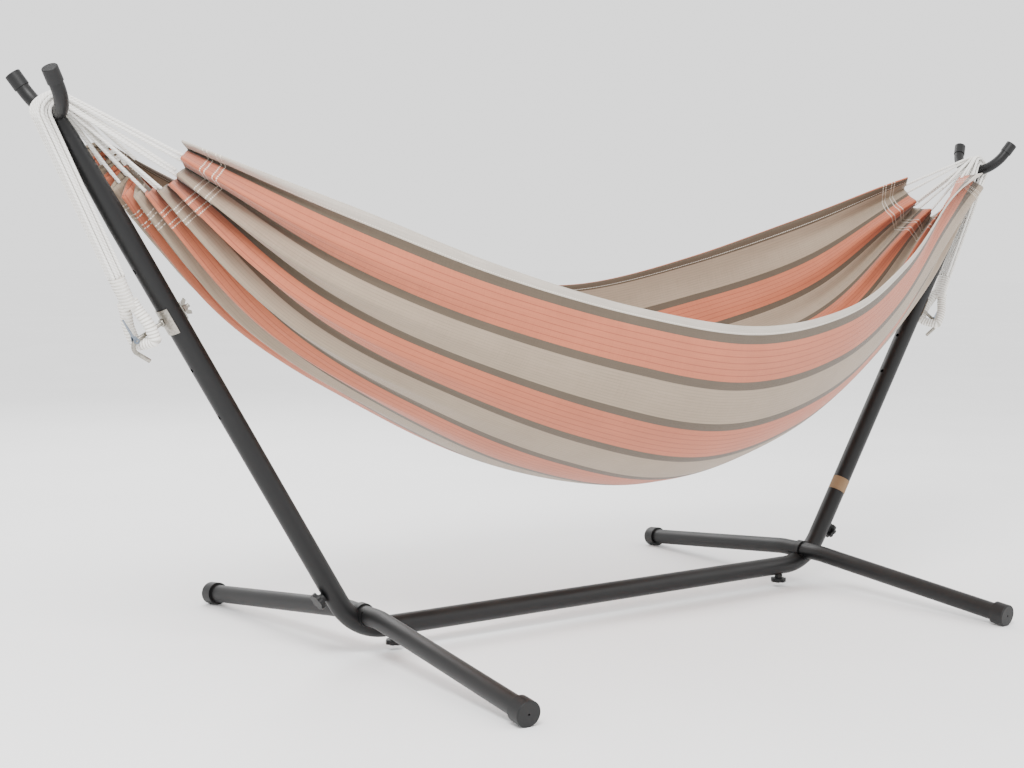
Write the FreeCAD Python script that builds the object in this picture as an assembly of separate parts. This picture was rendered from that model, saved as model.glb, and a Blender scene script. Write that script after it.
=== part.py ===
"""A cotton hammock hung on a knock-down steel tube stand with a forked upright at each end.

Frame: X runs along the ground beam, Y across it, Z is up. The origin is on the floor under the
middle of the stand. Sizes are in millimetres. The left end is at -X and the right end at +X.
"""
import FreeCAD
import Part
import math
import os

os.makedirs("parts", exist_ok=True)

Vector = FreeCAD.Vector
X_AXIS = Vector(1, 0, 0)
Y_AXIS = Vector(0, 1, 0)
SIDES = {"left": -1, "right": 1}

# ground beam and uprights
TUBE_OD = 42.0
TUBE_WALL = 1.5
BEAM_HEIGHT = 50.0              # beam axis above the floor
CORNER_X = 644.0                # where the beam and upright axes would cross
UPRIGHT_ANGLE = math.radians(58.3)
ELBOW_RADIUS = 130.0
BEAM_GAP = 78.0                 # beam end back from the corner
UPRIGHT_GAP = 86.0              # upright end up from the corner
STUB_LENGTH = 90.0              # reduced end of the elbow inside each tube
STUB_FIT = 0.2                  # play around a stub in its tube
TAPER_START = 930.0             # where the upright starts to narrow, from the corner
TAPER_END = 1100.0
TAPER_OD = 33.0

# fork at the top of each upright
FORK_OD = 25.0
FORK_WALL = 1.6
FORK_BOTTOM = 1147.0            # axis of the fork's lowest point, from the corner
FORK_RADIUS = 78.0
FORK_SWEEP = math.radians(72.0)
FORK_ARM = 28.0                 # straight end of each arm
CAP_LENGTH = 28.0
CAP_WALL = 1.6
CAP_END = 2.0
CAP_FIT = 0.1                   # around a fork arm inside its cap
FORK_SEAT = 44.0                # last stretch of the upright, which narrows to the fork's size

# cross legs
LEG_OD = 38.0
LEG_WALL = 1.5
LEG_OFFSET = 17.0               # leg axis above the elbow axis, on the bisector of the bend
LEG_LEVEL = 62.0                # level middle, out to the bend
LEG_BEND = 180.0
LEG_REACH = 588.0               # foot end from the middle, across the stand
LEG_JOINT = 1.0                 # space between the two leg ends under the strap
SPIGOT_LENGTH = 84.0
SPIGOT_FIT = 0.2
SADDLE_THICK = 2.4
SADDLE_WIDTH = 54.0
SADDLE_ARC = 95.0               # half angle that the saddle covers below the leg, degrees
STRAP_THICK = 3.4
STRAP_WIDTH = 16.0
LEG_PLAY = 0.15
FOOT_CAP_LENGTH = 32.0
FOOT_CAP_WALL = 5.4
FOOT_CAP_END = 4.0
FOOT_CAP_ROUND = 2.5
FOOT_FLAT = 1.0                 # depth of the small flat that each foot stands on
VENT_RADIUS = 2.0

# hand knobs that lock the beam and the uprights on the elbows
SCREW_RADIUS = 4.0
SCREW_PLAY = 0.5                # around a screw or hook in a tube's hole
THREAD_FIT = 0.05
KNOB_INSET = 16.0               # screw from the end of the tube
KNOB_RADIUS = 18.0
KNOB_THICK = 9.0
KNOB_LOBES = 7
LOBE_RADIUS = 5.0
BOSS_RADIUS = 9.0
BOSS_LENGTH = 8.6
KNOB_CLEAR = 0.5
NUT_FLATS = 13.0
NUT_THICK = 6.5

# hook bolt through each upright
HOOK_HEIGHT = 738.0             # from the corner, up the upright
HOLE_PITCH = 105.0              # spare holes for hanging the hammock higher or lower
SPARE_HOLES = (-2, -1, 1)
HOOK_RADIUS = 4.0
HOOK_OUT = 80.0                 # straight shank from the upright's axis
HOOK_BEND = 14.0
HOOK_TURN = math.radians(118.0)
HOOK_TAIL = 28.0
HOOK_INNER = 37.0               # threaded end, inside the stand
FLANGE_RADIUS = 7.5
FLANGE_THICK = 3.0
PLATE_THICK = 2.0
PLATE_LENGTH = 50.0
PLATE_ARC = 62.0                # half angle of the outer plate, degrees
WASHER_LENGTH = 34.0
WASHER_ARC = 32.0
WING_HUB_RADIUS = 7.0
WING_HUB_LENGTH = 8.0
WING_SPAN = 17.0
WING_THICK = 3.0
LATCH_THICK = 1.5
LATCH_EAR = 5.5
LATCH_HEIGHT = 45.0
LATCH_BASE = 11.0
LATCH_TIP = 5.0
LATCH_PLAY = 0.3
LATCH_FROM_BEND = 3.0           # latch pin outboard of where the hook starts to bend
PIN_RADIUS = 1.5
PIN_FIT = 0.05

# paper sleeve on the right upright
BAND_LOW = 195.0
BAND_HIGH = 229.0
BAND_THICK = 0.5
BAND_ARC = 78.0

# end strings, whipped neck and loop
STRAND_OD = 6.4
STRAND_ROWS = (5, 4, 5, 4)
STRAND_GAP_FORK = 2.2           # between neighbours in a row, where they cross the fork
STRAND_GAP_NECK = 0.1           # between neighbours in a row, where they leave the neck
ROW_GAP = 0.3                   # added between rows, which the fork's curve brings closer
STRAND_CLEAR = 0.3              # between the fork or the hook and what bears on it
LOOP_OD = 21.0
LOOP_RADIUS = 22.0
LOOP_BEND = 55.0                # where the loop's sides turn in towards the neck
LOOP_HIP = 38.0                 # start of that turn, above the loop's bottom
LOOP_STRAIGHT = 15.0            # last stretch of each side, where they lie together
LOOP_OUT = 68.0                 # bottom of the loop from the upright's axis
EYE_LENGTH = 84.0               # loop bottom to the start of the neck
NECK_LENGTH = 46.0
STRING_CUT = 45.0               # swinging strings start this far inboard of the fork
CUT_GAP = 1.0

# hammock cloth: each line is (share of the way out to the fork, across, drop below the fork)
FRONT_HEM = [(-0.820, -44, 36), (-0.634, -237, 149), (-0.417, -328, 254), (-0.188, -385, 329),
             (0.048, -409, 366), (0.277, -390, 330), (0.513, -298, 231), (0.746, -170, 82),
             (0.958, -50, 8)]
BELLY = [(-0.872, 0, 130), (-0.690, 0, 371), (-0.473, 0, 544), (-0.241, 0, 674),
         (0.000, 0, 728), (0.241, 0, 676), (0.473, 0, 548), (0.690, 0, 381), (0.886, 0, 116)]
BACK_HEM = [(-0.934, 48, 41), (-0.706, 200, 121), (-0.481, 320, 211), (-0.265, 385, 271),
            (-0.016, 405, 302), (0.201, 388, 304), (0.433, 328, 236), (0.658, 222, 132),
            (0.814, 48, 24)]
BED_THICK = 4.0
GATHER_THICK = 3.0
GATHER_INSET = 0.02             # share of the half length between the cloth's end and its gathering
STRING_SPREAD = 0.8             # part of the end's width and height that the strings reach
STRING_START = 15.0             # strings start this far from the gathered end

STRAND_PITCH_FORK = STRAND_OD + STRAND_GAP_FORK
STRAND_PITCH_NECK = STRAND_OD + STRAND_GAP_NECK
ROW_PITCH = STRAND_PITCH_NECK * math.sqrt(3) / 2 + ROW_GAP
FORK_X = CORNER_X + FORK_BOTTOM * math.cos(UPRIGHT_ANGLE)
FORK_Z = BEAM_HEIGHT + FORK_BOTTOM * math.sin(UPRIGHT_ANGLE)


def along(side):
    """Unit vector up one upright."""
    return Vector(side * math.cos(UPRIGHT_ANGLE), 0, math.sin(UPRIGHT_ANGLE))


def outward(side):
    """Unit vector out of an upright's lower, outer face."""
    return Vector(side * math.sin(UPRIGHT_ANGLE), 0, -math.cos(UPRIGHT_ANGLE))


def inward(side):
    """Unit vector up the bisector of the bend between beam and upright."""
    half = UPRIGHT_ANGLE / 2
    return Vector(-side * math.sin(half), 0, math.cos(half))


def corner(side):
    return Vector(side * CORNER_X, 0, BEAM_HEIGHT)


def on_upright(side, up, out=0.0, across=0.0):
    """A point given by its distance up the upright, out from its axis and across the stand."""
    return corner(side) + along(side) * up + outward(side) * out + Y_AXIS * across


def route(points, radii):
    """Edges of straight runs between points, joined at each inner point by a tangent arc."""
    edges = []
    start = points[0]
    for before, here, after, radius in zip(points, points[1:], points[2:], radii):
        back = (before - here).normalize()
        ahead = (after - here).normalize()
        turn = math.pi - back.getAngle(ahead)
        reach = radius * math.tan(turn / 2)
        first = here + back * reach
        last = here + ahead * reach
        centre = here + (back + ahead).normalize() * (radius / math.cos(turn / 2))
        middle = centre + (here - centre).normalize() * radius
        if (first - start).Length > 0.02:
            edges.append(Part.LineSegment(start, first).toShape())
        else:
            first = start
        edges.append(Part.Arc(first, middle, last).toShape())
        start = last
    edges.append(Part.LineSegment(start, points[-1]).toShape())
    return edges


def rod(points, radii, radius):
    """A round bar swept along a route."""
    edges = route(points, radii)
    path = Part.Wire(edges)
    direction = (points[1] - points[0]).normalize()
    circle = Part.Wire([Part.makeCircle(radius, points[0], direction)])
    return path.makePipeShell([circle], True, False)


def cylinder(start, direction, radius, length):
    return Part.makeCylinder(radius, length, start, direction)


def pipe(start, direction, outer, inner, length):
    return cylinder(start, direction, outer, length).cut(cylinder(start, direction, inner, length))


def sector(start, direction, middle, inner, outer, length, half_angle):
    """Part of a pipe, centred on the direction called middle."""
    axis = Vector(direction).normalize()
    side = axis.cross(middle).normalize()
    reach = outer * 3
    first = middle * math.cos(math.radians(half_angle)) + side * math.sin(math.radians(half_angle))
    last = middle * math.cos(math.radians(half_angle)) - side * math.sin(math.radians(half_angle))
    points = [start, start + first * reach, start + (middle + first) * reach,
              start + (middle + last) * reach, start + last * reach, start]
    wedge = Part.Face(Part.makePolygon(points)).extrude(axis * length)
    return pipe(start, axis, outer, inner, length).common(wedge)


def group(shapes):
    return shapes[0] if len(shapes) == 1 else Part.makeCompound(shapes)


def save(name, shape):
    """Write one node's solids as a STEP file."""
    if not shape.isValid():
        raise ValueError(name + " is not valid")
    shape.exportStep("parts/" + name + ".step")


# ---------------------------------------------------------------- stand

def elbow_points(side, beam_extra, upright_extra):
    beam_end = Vector(side * (CORNER_X - BEAM_GAP - beam_extra), 0, BEAM_HEIGHT)
    return [beam_end, corner(side), on_upright(side, UPRIGHT_GAP + upright_extra)]


def leg_centre(side):
    bend_rise = ELBOW_RADIUS * (1 / math.cos(UPRIGHT_ANGLE / 2) - 1)
    return corner(side) + inward(side) * (bend_rise + LEG_OFFSET)


def knob_places(side):
    """Screw places of one end: point on the tube's axis and the direction out of the tube."""
    beam_x = side * (CORNER_X - BEAM_GAP - KNOB_INSET)
    return {
        "beam": (Vector(beam_x, 0, BEAM_HEIGHT), Vector(0, 0, -1)),
        "upright": (on_upright(side, UPRIGHT_GAP + KNOB_INSET), outward(side)),
    }


def screw_holes(shape, side, places):
    for place in places:
        point, direction = knob_places(side)[place]
        shape = shape.cut(cylinder(point, direction, SCREW_RADIUS + SCREW_PLAY, TUBE_OD))
    return shape


def beam():
    length = 2 * (CORNER_X - BEAM_GAP)
    start = Vector(-length / 2, 0, BEAM_HEIGHT)
    shape = pipe(start, X_AXIS, TUBE_OD / 2, TUBE_OD / 2 - TUBE_WALL, length)
    for side in SIDES.values():
        shape = screw_holes(shape, side, ["beam"])
    return shape


def elbow(side):
    """Bent tube with a reduced stub at each end and a notch where the leg crosses it."""
    stub_radius = TUBE_OD / 2 - TUBE_WALL - STUB_FIT
    radii = [ELBOW_RADIUS]
    body = rod(elbow_points(side, 0, 0), radii, TUBE_OD / 2)
    stubs = rod(elbow_points(side, STUB_LENGTH, STUB_LENGTH), radii, stub_radius)
    bore = rod(elbow_points(side, STUB_LENGTH + 1, STUB_LENGTH + 1), radii, stub_radius - TUBE_WALL)
    shape = body.fuse(stubs).cut(bore)
    notch_radius = LEG_OD / 2 + LEG_PLAY + SADDLE_THICK
    notch_start = leg_centre(side) - Y_AXIS * TUBE_OD
    shape = shape.cut(cylinder(notch_start, Y_AXIS, notch_radius, 2 * TUBE_OD))
    shape = shape.cut(strap_ring(side, LEG_OD / 4))
    shape = screw_holes(shape, side, ["beam", "upright"])
    solids = sorted(shape.Solids, key=lambda solid: -solid.Volume)
    return solids[0]


def fork_points(side):
    """Fork route from one arm's tip round the bottom to the other, in the upright's plane."""
    centre_up = FORK_BOTTOM + FORK_RADIUS
    bend_y = FORK_RADIUS * math.sin(FORK_SWEEP)
    bend_up = centre_up - FORK_RADIUS * math.cos(FORK_SWEEP)
    tip_y = bend_y + FORK_ARM * math.cos(FORK_SWEEP)
    tip_up = bend_up + FORK_ARM * math.sin(FORK_SWEEP)
    corner_y = FORK_RADIUS * math.tan(FORK_SWEEP / 2)
    return [on_upright(side, tip_up, 0, -tip_y),
            on_upright(side, FORK_BOTTOM, 0, -corner_y),
            on_upright(side, FORK_BOTTOM, 0, corner_y),
            on_upright(side, tip_up, 0, tip_y)]


def fork_rod(side, radius):
    fork_bend = FORK_RADIUS * 0.9999
    return rod(fork_points(side), [fork_bend, fork_bend], radius)


def fork(side):
    return fork_rod(side, FORK_OD / 2).cut(fork_rod(side, FORK_OD / 2 - FORK_WALL))


def fork_cap(side, end):
    """Black plastic cap on one arm of a fork; end is -1 at the front, 1 at the back."""
    points = fork_points(side)
    tip, below = (points[0], points[1]) if end < 0 else (points[3], points[2])
    up = (tip - below).normalize()
    start = tip - up * (CAP_LENGTH - CAP_END)
    outer = cylinder(start, up, FORK_OD / 2 + CAP_WALL, CAP_LENGTH)
    rims = [edge for edge in outer.Edges if (edge.CenterOfMass - start).Length > CAP_LENGTH / 2
            and len(edge.Vertexes) == 1]
    outer = outer.makeFillet(CAP_END * 0.7, rims)
    return outer.cut(cylinder(start, up, FORK_OD / 2 + CAP_FIT, CAP_LENGTH - CAP_END + CAP_FIT))


def upright(side):
    """Tube that narrows at the top, shaped there to seat the fork, with holes for the hook."""
    start = on_upright(side, UPRIGHT_GAP)
    up = along(side)
    straight = TAPER_START - UPRIGHT_GAP
    taper = TAPER_END - TAPER_START
    neck = FORK_BOTTOM - FORK_SEAT - TAPER_END
    shells = []
    for wall in (0, TUBE_WALL):
        wide = TUBE_OD / 2 - wall
        narrow = TAPER_OD / 2 - wall
        tube = cylinder(start, up, wide, straight)
        cone = Part.makeCone(wide, narrow, taper, on_upright(side, TAPER_START), up)
        top = cylinder(on_upright(side, TAPER_END), up, narrow, neck)
        seat_start = on_upright(side, FORK_BOTTOM - FORK_SEAT)
        seat = Part.makeCone(narrow, FORK_OD / 2 - wall, FORK_SEAT, seat_start, up)
        shells.append(tube.fuse([cone, top, seat]))
    shape = shells[0].cut(shells[1]).cut(fork_rod(side, FORK_OD / 2))
    shape = screw_holes(shape, side, ["upright"])
    for step in (0,) + SPARE_HOLES:
        hole = on_upright(side, HOOK_HEIGHT + step * HOLE_PITCH, -TUBE_OD)
        shape = shape.cut(cylinder(hole, outward(side), HOOK_RADIUS + SCREW_PLAY, 2 * TUBE_OD))
    solids = sorted(shape.Solids, key=lambda solid: -solid.Volume)
    return solids[0]


def foot_lift(pitch):
    """Height of a foot's end centre above the floor when the flat on its rim rests there."""
    tilt = math.asin(math.sin(pitch) * math.cos(UPRIGHT_ANGLE / 2))
    radius = LEG_OD / 2 + FOOT_CAP_WALL
    rim = (radius - FOOT_CAP_ROUND) * math.cos(tilt) + FOOT_CAP_ROUND * (1 - math.sin(tilt))
    return rim - FOOT_FLAT


def leg_pitch():
    """Slope of the legs that brings the foot rims down to the floor."""
    pitch = 0.1
    for step in range(30):
        drop = (leg_centre(1).z - foot_lift(pitch)) / math.cos(UPRIGHT_ANGLE / 2)
        pitch = math.atan(drop / (LEG_REACH - LEG_LEVEL))
    return pitch


def leg_points(side, end, shorten, first):
    """Leg route from the strap out to the foot; shorten leaves the cap's end wall clear."""
    pitch = leg_pitch()
    centre = leg_centre(side)
    slope = Y_AXIS * (end * math.cos(pitch)) - inward(side) * math.sin(pitch)
    bend = centre + Y_AXIS * (end * LEG_LEVEL)
    length = (LEG_REACH - LEG_LEVEL) / math.cos(pitch) - shorten
    return [centre + Y_AXIS * (end * first), bend, bend + slope * length]


def leg(side, end):
    points = leg_points(side, end, FOOT_CAP_END, LEG_JOINT / 2)
    outer = rod(points, [LEG_BEND], LEG_OD / 2)
    return outer.cut(rod(points, [LEG_BEND], LEG_OD / 2 - LEG_WALL))


def leg_spigot(side):
    """Short tube hidden inside the two leg ends where they meet."""
    radius = LEG_OD / 2 - LEG_WALL - SPIGOT_FIT
    start = leg_centre(side) - Y_AXIS * (SPIGOT_LENGTH / 2)
    return pipe(start, Y_AXIS, radius, radius - LEG_WALL, SPIGOT_LENGTH)


def leg_saddle(side):
    """Half pipe welded into the elbow's notch, under the leg."""
    inner = LEG_OD / 2 + LEG_PLAY
    start = leg_centre(side) - Y_AXIS * (SADDLE_WIDTH / 2)
    return sector(start, Y_AXIS, -inward(side), inner, inner + SADDLE_THICK, SADDLE_WIDTH, SADDLE_ARC)


def strap_ring(side, inner):
    """Upper half ring of the strap's outer size, from a given inner radius."""
    outer = LEG_OD / 2 + LEG_PLAY + STRAP_THICK
    start = leg_centre(side) - Y_AXIS * (STRAP_WIDTH / 2)
    return sector(start, Y_AXIS, inward(side), inner, outer, STRAP_WIDTH, 180 - SADDLE_ARC)


def leg_strap(side):
    """Half ring over the joint of the two legs, welded to the saddle's edges."""
    return strap_ring(side, LEG_OD / 2 + LEG_PLAY)


def foot_cap(side, end):
    """Closed sleeve over a leg's end, with a flat to stand on and a moulding hole in its face."""
    points = leg_points(side, end, 0, 0)
    tip = points[2]
    out = (tip - points[1]).normalize()
    start = tip - out * FOOT_CAP_LENGTH
    outer = cylinder(start, out, LEG_OD / 2 + FOOT_CAP_WALL, FOOT_CAP_LENGTH)
    rims = [edge for edge in outer.Edges if (edge.CenterOfMass - tip).Length < 1
            and len(edge.Vertexes) == 1]
    outer = outer.makeFillet(FOOT_CAP_ROUND, rims)
    outer = outer.cut(cylinder(start, out, LEG_OD / 2, FOOT_CAP_LENGTH - FOOT_CAP_END))
    outer = outer.cut(cylinder(start, out, VENT_RADIUS, FOOT_CAP_LENGTH))
    corner_low = Vector(tip.x - LEG_OD, tip.y - 2 * LEG_OD, -LEG_OD)
    return outer.cut(Part.makeBox(2 * LEG_OD, 4 * LEG_OD, LEG_OD, corner_low))


# ---------------------------------------------------------------- hand knobs

def hexagon(centre, axis, flats, thick):
    """Hexagonal prism that starts at centre."""
    across = Y_AXIS
    third = axis.cross(across)
    reach = flats / math.sqrt(3)
    corners = []
    for turn in range(7):
        angle = math.radians(60 * turn)
        corners.append(centre + across * (reach * math.cos(angle)) + third * (reach * math.sin(angle)))
    return Part.Face(Part.makePolygon(corners)).extrude(axis * thick)


def nut_seat():
    """Distance from the tube's axis to the face of a weld nut inside the stub."""
    bore = TUBE_OD / 2 - 2 * TUBE_WALL - STUB_FIT
    corner_reach = NUT_FLATS / math.sqrt(3)
    return math.sqrt(bore ** 2 - corner_reach ** 2) - 0.1


def weld_nut(point, direction):
    start = point + direction * (nut_seat() - NUT_THICK)
    nut = hexagon(start, direction, NUT_FLATS, NUT_THICK)
    return nut.cut(cylinder(start, direction, SCREW_RADIUS + THREAD_FIT, NUT_THICK))


def knob_screw(point, direction):
    inner = nut_seat() - NUT_THICK - 2
    outer = TUBE_OD / 2 + KNOB_CLEAR + BOSS_LENGTH + KNOB_THICK / 2
    return cylinder(point + direction * inner, direction, SCREW_RADIUS, outer - inner)


def knob_head(point, direction):
    """Lobed grip on a round boss, moulded over the screw's head."""
    base = point + direction * (TUBE_OD / 2 + KNOB_CLEAR)
    boss = cylinder(base, direction, BOSS_RADIUS, BOSS_LENGTH)
    grip_start = base + direction * BOSS_LENGTH
    grip = cylinder(grip_start, direction, KNOB_RADIUS, KNOB_THICK)
    third = direction.cross(Y_AXIS)
    for lobe in range(KNOB_LOBES):
        angle = 2 * math.pi * lobe / KNOB_LOBES
        reach = KNOB_RADIUS + LOBE_RADIUS * 0.45
        place = grip_start + Y_AXIS * (reach * math.cos(angle)) + third * (reach * math.sin(angle))
        grip = grip.cut(cylinder(place, direction, LOBE_RADIUS, KNOB_THICK))
    shape = boss.fuse(grip).removeSplitter()
    return shape.cut(cylinder(base, direction, SCREW_RADIUS, BOSS_LENGTH + KNOB_THICK / 2))


# ---------------------------------------------------------------- hook

def hook_point(side, up, out, across=0.0):
    return on_upright(side, HOOK_HEIGHT + up, out, across)


def hook_bolt(side):
    """Rod through the upright, bent down and back outside it, with a flange at the plate."""
    flange_start = TUBE_OD / 2 + PLATE_THICK + 0.3
    reach = HOOK_BEND * math.tan(HOOK_TURN / 2)
    back_out = HOOK_OUT + reach + (reach + HOOK_TAIL) * math.cos(HOOK_TURN)
    down = (reach + HOOK_TAIL) * math.sin(HOOK_TURN)
    points = [hook_point(side, 0, -HOOK_INNER),
              hook_point(side, 0, HOOK_OUT + reach),
              hook_point(side, -down, back_out)]
    shape = rod(points, [HOOK_BEND], HOOK_RADIUS)
    flange = cylinder(hook_point(side, 0, flange_start), outward(side), FLANGE_RADIUS, FLANGE_THICK)
    hole = cylinder(latch_pin_start(side), Y_AXIS, PIN_RADIUS, 2 * pin_half())
    return shape.fuse(flange).cut(hole)


def latch_out():
    return HOOK_OUT + LATCH_FROM_BEND


def pin_half():
    return HOOK_RADIUS + LATCH_PLAY + LATCH_THICK + 0.8


def latch_pin_start(side):
    return hook_point(side, 0, latch_out(), -pin_half())


def latch_pin(side):
    return cylinder(latch_pin_start(side), Y_AXIS, PIN_RADIUS, 2 * pin_half())


def hook_latch(side):
    """Sprung tongue: two ears on the pin, joined above the rod by a plate that tapers upward."""
    ears = []
    inner = HOOK_RADIUS + LATCH_PLAY
    for end in (-1, 1):
        low = inner if end > 0 else -inner - LATCH_THICK
        disc = cylinder(hook_point(side, 0, latch_out(), low), Y_AXIS, LATCH_EAR, LATCH_THICK)
        corners = [hook_point(side, 0, latch_out() - LATCH_EAR, low),
                   hook_point(side, LATCH_EAR + 4, latch_out() - LATCH_EAR * 0.4, low),
                   hook_point(side, LATCH_EAR + 4, latch_out() + LATCH_EAR * 0.4, low),
                   hook_point(side, 0, latch_out() + LATCH_EAR, low)]
        web = Part.Face(Part.makePolygon(corners + corners[:1])).extrude(Y_AXIS * LATCH_THICK)
        ears.append(disc.fuse(web))
    foot = LATCH_EAR + 1
    half_base = inner + LATCH_THICK
    outline = [hook_point(side, foot, latch_out(), -half_base),
               hook_point(side, foot + 6, latch_out(), -LATCH_BASE / 2),
               hook_point(side, LATCH_HEIGHT, latch_out(), -LATCH_TIP / 2),
               hook_point(side, LATCH_HEIGHT, latch_out(), LATCH_TIP / 2),
               hook_point(side, foot + 6, latch_out(), LATCH_BASE / 2),
               hook_point(side, foot, latch_out(), half_base)]
    tongue = Part.Face(Part.makePolygon(outline + outline[:1])).extrude(outward(side) * LATCH_THICK)
    shape = tongue.fuse(ears)
    return shape.cut(cylinder(latch_pin_start(side), Y_AXIS, PIN_RADIUS + PIN_FIT, 2 * pin_half()))


def outer_plate(side):
    """Curved zinc plate between the hook's flange and the outer face of the upright."""
    start = hook_point(side, -PLATE_LENGTH * 0.55, 0)
    inner = TUBE_OD / 2 + 0.1
    plate = sector(start, along(side), outward(side), inner, inner + PLATE_THICK, PLATE_LENGTH, PLATE_ARC)
    return plate.cut(cylinder(hook_point(side, 0, 0), outward(side), HOOK_RADIUS + SCREW_PLAY, TUBE_OD))


def inner_washer(side):
    """Curved washer under the wing nut."""
    start = hook_point(side, -WASHER_LENGTH / 2, 0)
    inner = TUBE_OD / 2 + 0.1
    washer = sector(start, along(side), -outward(side), inner, inner + PLATE_THICK, WASHER_LENGTH, WASHER_ARC)
    return washer.cut(cylinder(hook_point(side, 0, 0), -outward(side), HOOK_RADIUS + SCREW_PLAY, TUBE_OD))


def wing_nut(side):
    """Hub with two upright wings, on the threaded end of the hook."""
    direction = -outward(side)
    base = hook_point(side, 0, -(TUBE_OD / 2 + PLATE_THICK + KNOB_CLEAR))
    hub = Part.makeCone(WING_HUB_RADIUS, WING_HUB_RADIUS * 0.75, WING_HUB_LENGTH, base, direction)
    wings = []
    for end in (-1, 1):
        out = along(side) * end
        corners = [base + direction * 1.0 + out * 3,
                   base + direction * 3.0 + out * WING_SPAN * 0.75,
                   base + direction * 11.0 + out * WING_SPAN,
                   base + direction * 13.0 + out * WING_SPAN * 0.65,
                   base + direction * 7.0 + out * 5]
        corners = [point - Y_AXIS * (WING_THICK / 2) for point in corners]
        wings.append(Part.Face(Part.makePolygon(corners + corners[:1])).extrude(Y_AXIS * WING_THICK))
    shape = hub.fuse(wings)
    return shape.cut(cylinder(base, direction, SCREW_RADIUS + THREAD_FIT, 2 * WING_HUB_LENGTH))


def paper_band():
    start = on_upright(1, BAND_LOW)
    middle = (-outward(1) * 0.8 - Y_AXIS).normalize()
    inner = TUBE_OD / 2 + 0.05
    return sector(start, along(1), middle, inner, inner + BAND_THICK, BAND_HIGH - BAND_LOW, BAND_ARC)


# ---------------------------------------------------------------- cloth

def on_line(points, along_bed):
    """A point of a smooth line through evenly spaced points; along_bed runs from -1 to 1."""
    count = len(points) - 1
    place = (along_bed + 1) / 2 * count
    first = min(int(place), count - 1)
    part = place - first
    near = [Vector(points[min(max(first + step, 0), count)]) for step in (-1, 0, 1, 2)]
    if first == 0:
        near[0] = near[1] * 2 - near[2]
    if first == count - 1:
        near[3] = near[2] * 2 - near[1]
    bend = near[0] * -1 + near[1] * 3 - near[2] * 3 + near[3]
    curve = near[0] * 2 - near[1] * 5 + near[2] * 4 - near[3]
    slope = near[2] - near[0]
    local = near[1] + (slope * part + curve * part ** 2 + bend * part ** 3) * 0.5
    return Vector(local.x * FORK_X, local.y, FORK_Z - local.z)


def bed_axes(along_bed):
    """Middle of the mouth, half way across it, and down to the bottom, at one place."""
    front = on_line(FRONT_HEM, along_bed)
    back = on_line(BACK_HEM, along_bed)
    middle = (front + back) * 0.5
    return middle, (back - front) * 0.5, on_line(BELLY, along_bed) - middle


def bed_place(along_bed, turn):
    """Point of the trough; turn runs from 0 at the front hem to pi at the back."""
    middle, half, down = bed_axes(along_bed)
    return middle - half * math.cos(turn) + down * math.sin(turn)


def bed_point(along_bed, turn, lift):
    """The same, moved out of the trough by lift."""
    step = 0.01
    low = max(along_bed - step, -1)
    high = min(along_bed + step, 1)
    along_cloth = bed_place(high, turn) - bed_place(low, turn)
    across_cloth = bed_place(along_bed, turn + step) - bed_place(along_bed, turn - step)
    normal = across_cloth.cross(along_cloth).normalize()
    return bed_place(along_bed, turn) + normal * lift


def bed_stations():
    """Places along the bed, closer together towards its ends."""
    count = 20
    return [math.sin(math.pi / 2 * (2 * step / count - 1)) for step in range(count + 1)]


def bed_skin(lift):
    count = 16
    rows = []
    for along_bed in bed_stations():
        rows.append([bed_point(along_bed, math.pi * step / count, lift) for step in range(count + 1)])
    surface = Part.BSplineSurface()
    surface.interpolate(rows)
    return surface


def gather(side):
    """Bunched and sewn pleats that close one end of the trough."""
    count = 16
    along_bed = side * (1 - GATHER_INSET)
    points = [bed_place(along_bed, math.pi * step / count) for step in range(count + 1)]
    face = Part.Face(Part.makePolygon(points + points[:1]))
    return face.extrude(X_AXIS * (-side * GATHER_THICK))


def rim(outer_curve, inner_curve):
    """Narrow face between the same edge of the two skins."""
    turned = inner_curve.copy()
    turned.reverse()
    choices = [Part.makeRuledSurface(outer_curve.toShape(), other.toShape())
               for other in (inner_curve, turned)]
    return min(choices, key=lambda face: face.Area)


def fabric_bed():
    """The cloth as one trough-shaped shell, open at the top."""
    outer = bed_skin(BED_THICK / 2)
    inner = bed_skin(-BED_THICK / 2)
    faces = [outer.toShape(), inner.toShape()]
    u_first, u_last, v_first, v_last = outer.bounds()
    faces += [rim(outer.uIso(value), inner.uIso(value)) for value in (u_first, u_last)]
    faces += [rim(outer.vIso(value), inner.vIso(value)) for value in (v_first, v_last)]
    shell = Part.makeShell(faces)
    shell.sewShape()
    solid = Part.makeSolid(Part.Shell(shell.Faces))
    if solid.Volume < 0:
        solid.reverse()
    for side in SIDES.values():
        solid = solid.fuse(gather(side))
    return solid.Solids[0]


# ---------------------------------------------------------------- end strings

def pull_line(side):
    """Bottom of the loop and the unit vector from there up to the fork."""
    low_up = HOOK_HEIGHT - HOOK_RADIUS - STRAND_CLEAR - LOOP_OD / 2
    bottom = on_upright(side, low_up, LOOP_OUT)
    rows = len(STRAND_ROWS)
    bundle = (FORK_OD + STRAND_OD + (rows - 1) * ROW_PITCH) / 2
    top = on_upright(side, FORK_BOTTOM, bundle)
    return bottom, (top - bottom).normalize()


def strand_places():
    """Row and place in the row of every strand; row 0 lies on the fork."""
    places = []
    for row, count in enumerate(STRAND_ROWS):
        for column in range(count):
            places.append((row, column - (count - 1) / 2))
    return places


def end_point(side, row, column):
    """Where a strand comes out of the gathered end of the cloth; row 0 is the lowest."""
    middle, half, down = bed_axes(side)
    across = STRING_SPREAD * column * 2 / (max(STRAND_ROWS) - 1)
    drop = 0.5 + STRING_SPREAD * (0.5 - (row + 0.5) / len(STRAND_ROWS))
    return middle + half * across + down * drop


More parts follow.
